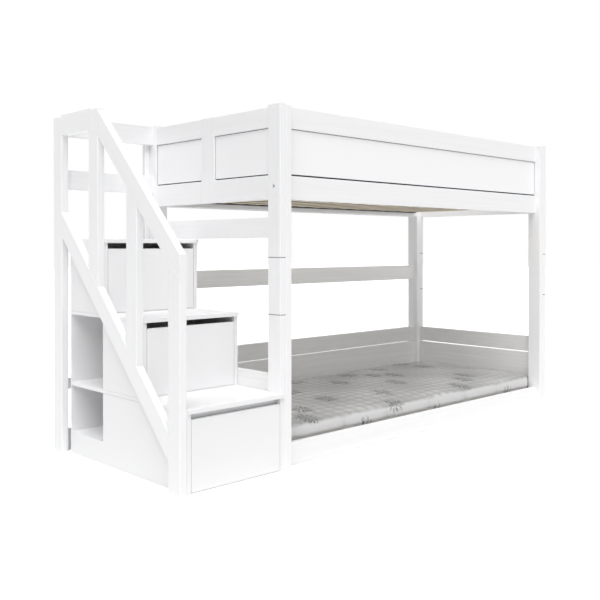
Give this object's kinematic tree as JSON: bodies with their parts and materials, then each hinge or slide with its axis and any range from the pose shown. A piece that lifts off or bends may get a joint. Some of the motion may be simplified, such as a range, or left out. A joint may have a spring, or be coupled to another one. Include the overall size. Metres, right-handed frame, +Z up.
{
  "type": "bunk bed with storage stairs",
  "caption": "Bunk bed of white lacquered wood, with a stair of stacked cabinets at one end: drawers under the steps, open shelves behind, and a sloping plank railing.",
  "frame": {"origin": "on the floor, at the centre of the whole footprint, stairs included", "axes": "+X along the bed, away from the stairs; +Y to the back (wall side); +Z up"},
  "size_m": [2.559, 1.018, 1.52],
  "materials": {
    "white_lacquer": "satin lacquer",
    "slat_wood": "planed, bare",
    "drawer_wood": "matt foil",
    "steel": "zinc plated",
    "mattress_fabric": "quilted knit"
  },
  "bodies": {
    "bed_frame": {"back_rail": "white_lacquer", "baluster": "white_lacquer", "base_rail_back": "white_lacquer", "base_rail_front": "white_lacquer", "cabinet_backs": "white_lacquer", "cabinet_dividers": "white_lacquer", "cabinet_left_panels": "white_lacquer", "cabinet_right_panels": "white_lacquer", "end_left_panels": "white_lacquer", "end_left_rails": "white_lacquer", "end_left_stile": "white_lacquer", "end_right_panels": "white_lacquer", "end_right_rails": "white_lacquer", "end_right_stile": "white_lacquer", "frame_bolts": "steel", "guard_back_bottom_rail": "white_lacquer", "guard_back_panel": "white_lacquer", "guard_back_top_rail": "white_lacquer", "guard_front_bottom_rail": "white_lacquer", "guard_front_panel": "white_lacquer", "guard_front_top_rail": "white_lacquer", "handrail": "white_lacquer", "knee_rail": "white_lacquer", "lower_ledgers": "slat_wood", "lower_slats": "slat_wood", "mattress": "mattress_fabric", "newel_post": "white_lacquer", "platform_back_rails": "white_lacquer", "platform_post": "white_lacquer", "platform_side_rail": "white_lacquer", "post_inner_back_left": "white_lacquer", "post_inner_back_right": "white_lacquer", "post_inner_front_left": "white_lacquer", "post_inner_front_right": "white_lacquer", "post_outer_lower_planks": "white_lacquer", "post_outer_middle_planks": "white_lacquer", "post_outer_upper_planks": "white_lacquer", "rear_post": "white_lacquer", "rear_tie_rails": "white_lacquer", "rear_upright": "white_lacquer", "shelf_plinth": "white_lacquer", "skirt_rail": "white_lacquer", "slide_channels": "steel", "tread_1": "white_lacquer", "tread_2": "white_lacquer", "tread_3": "white_lacquer", "upper_ledgers": "slat_wood", "upper_slats": "slat_wood", "wall_boards_back": "white_lacquer", "wall_boards_left": "white_lacquer", "wall_boards_right": "white_lacquer"},
    "drawer_1": {"drawer_1_front": "white_lacquer", "drawer_1_box": "drawer_wood", "drawer_1_runners": "steel"},
    "drawer_2": {"drawer_2_front": "white_lacquer", "drawer_2_box": "drawer_wood", "drawer_2_runners": "steel"},
    "drawer_3": {"drawer_3_front": "white_lacquer", "drawer_3_box": "drawer_wood", "drawer_3_runners": "steel"}
  },
  "joints": [
    {"name": "drawer_1_slide", "type": "slide", "parent": "bed_frame", "child": "drawer_1", "axis": [0, -1, 0], "range_m": [0, 0.38]},
    {"name": "drawer_2_slide", "type": "slide", "parent": "bed_frame", "child": "drawer_2", "axis": [0, -1, 0], "range_m": [0, 0.18]},
    {"name": "drawer_3_slide", "type": "slide", "parent": "bed_frame", "child": "drawer_3", "axis": [0, -1, 0], "range_m": [0, 0.18]}
  ]
}
